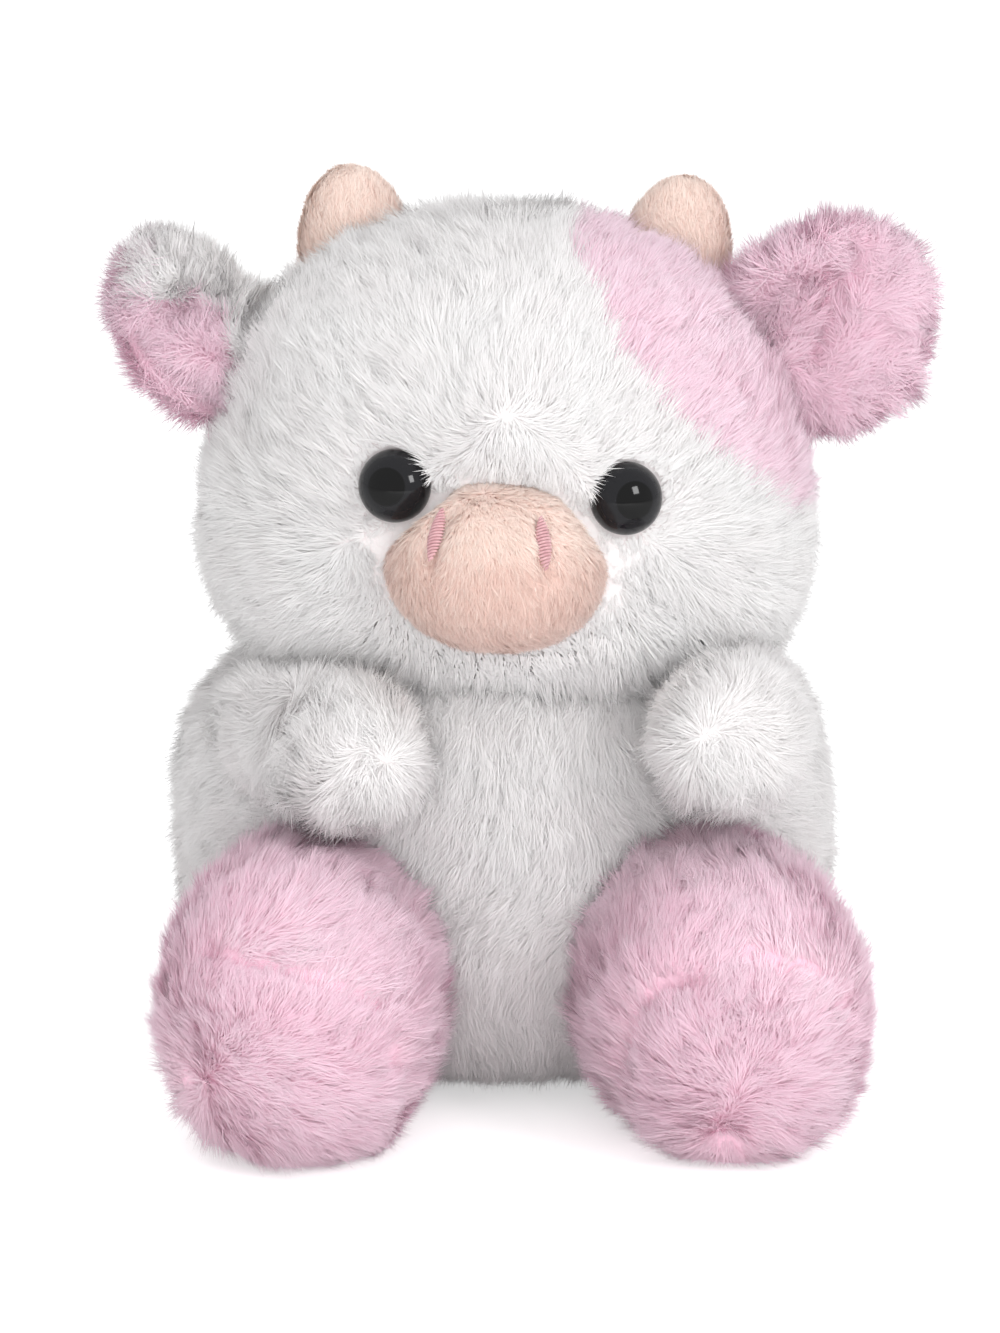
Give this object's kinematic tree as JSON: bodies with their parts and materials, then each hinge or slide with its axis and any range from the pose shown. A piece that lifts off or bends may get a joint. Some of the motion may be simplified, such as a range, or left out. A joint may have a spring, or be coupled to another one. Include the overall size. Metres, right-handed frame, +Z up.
{
  "type": "plush cow",
  "caption": "Stuffed toy cow that sits up, with a large furry head, rounded pink feet, soft horns, floppy ears and a short padded muzzle.",
  "frame": {"origin": "middle of the flat base under the torso, where the cow sits", "axes": "+Z up, the face towards -Y, and the cow's own left side towards +X"},
  "size_m": [0.1645, 0.164, 0.1874],
  "materials": {
    "white_fur": "long soft white plush pile",
    "pink_fur": "long soft pink plush pile",
    "peach_pile": "short brushed peach pile",
    "filling": "white polyester fibre filling",
    "pellets": "cloth pouch of plastic pellets",
    "eye_black": "glossy black, domed",
    "washer_white": "natural white, moulded",
    "nostril_thread": "rose embroidery thread"
  },
  "bodies": {
    "torso": {"torso_skin": "white_fur", "seat_panel": "white_fur", "torso_stuffing": "filling", "pellet_pouch": "pellets"},
    "neck": {"neck_stuffing": "filling"},
    "head": {"head_skin": "white_fur", "head_patch": "pink_fur", "head_stuffing": "filling", "muzzle_skin": "peach_pile", "muzzle_stuffing": "filling", "nostril_left": "nostril_thread", "nostril_right": "nostril_thread", "eye_left": "eye_black", "eye_right": "eye_black", "eye_washer_left": "washer_white", "eye_washer_right": "washer_white", "horn_left_skin": "peach_pile", "horn_left_stuffing": "filling", "horn_right_skin": "peach_pile", "horn_right_stuffing": "filling"},
    "tail": {"tail_cord": "white_fur", "tail_tuft": "pink_fur"},
    "ear_left": {"ear_left_front": "pink_fur", "ear_left_back": "pink_fur"},
    "arm_left": {"arm_left_skin": "white_fur", "arm_left_stuffing": "filling"},
    "leg_left": {"leg_left_skin": "pink_fur", "leg_left_sole": "pink_fur", "leg_left_stuffing": "filling"},
    "ear_right": {"ear_right_front": "pink_fur", "ear_right_back": "white_fur"},
    "arm_right": {"arm_right_skin": "white_fur", "arm_right_stuffing": "filling"},
    "leg_right": {"leg_right_skin": "pink_fur", "leg_right_sole": "pink_fur", "leg_right_stuffing": "filling"}
  },
  "joints": [
    {"name": "head_turn", "type": "hinge", "parent": "torso", "child": "neck", "pos_m": [-0.0008, -0.002, 0.09], "axis": [0, 0, 1], "range_deg": [-15, 15], "stiffness_Nm_per_rad": 0.4},
    {"name": "head_nod", "type": "hinge", "parent": "neck", "child": "head", "pos_m": [-0.0008, -0.002, 0.09], "axis": [1, 0, 0], "range_deg": [-8, 4], "stiffness_Nm_per_rad": 0.6},
    {"name": "ear_left_flop", "type": "hinge", "parent": "head", "child": "ear_left", "pos_m": [0.0503, 0.00143, 0.14793], "axis": [0.5009, 0.2079, -0.8402], "range_deg": [-20, 20], "stiffness_Nm_per_rad": 0.02},
    {"name": "ear_right_flop", "type": "hinge", "parent": "head", "child": "ear_right", "pos_m": [-0.04899, 0.00197, 0.14638], "axis": [-0.1594, -0.9703, -0.182], "range_deg": [-20, 20], "stiffness_Nm_per_rad": 0.02},
    {"name": "arm_left_swing", "type": "hinge", "parent": "torso", "child": "arm_left", "pos_m": [0.04927, -0.02217, 0.07775], "axis": [0, 0, 1], "range_deg": [-12, 32], "stiffness_Nm_per_rad": 0.05},
    {"name": "arm_right_swing", "type": "hinge", "parent": "torso", "child": "arm_right", "pos_m": [-0.04927, -0.02217, 0.07775], "axis": [0, 0, -1], "range_deg": [-3, 32], "stiffness_Nm_per_rad": 0.05},
    {"name": "leg_left_splay", "type": "hinge", "parent": "torso", "child": "leg_left", "pos_m": [0.0365, -0.02822, 0.029], "axis": [0, 0, 1], "range_deg": [-8, 15], "stiffness_Nm_per_rad": 0.1},
    {"name": "leg_right_splay", "type": "hinge", "parent": "torso", "child": "leg_right", "pos_m": [-0.0365, -0.02822, 0.029], "axis": [0, 0, -1], "range_deg": [-8, 15], "stiffness_Nm_per_rad": 0.1},
    {"name": "tail_sway", "type": "hinge", "parent": "torso", "child": "tail", "pos_m": [0, 0.05139, 0.03835], "axis": [0, 1, 0], "range_deg": [-25, 25], "stiffness_Nm_per_rad": 0.005}
  ]
}
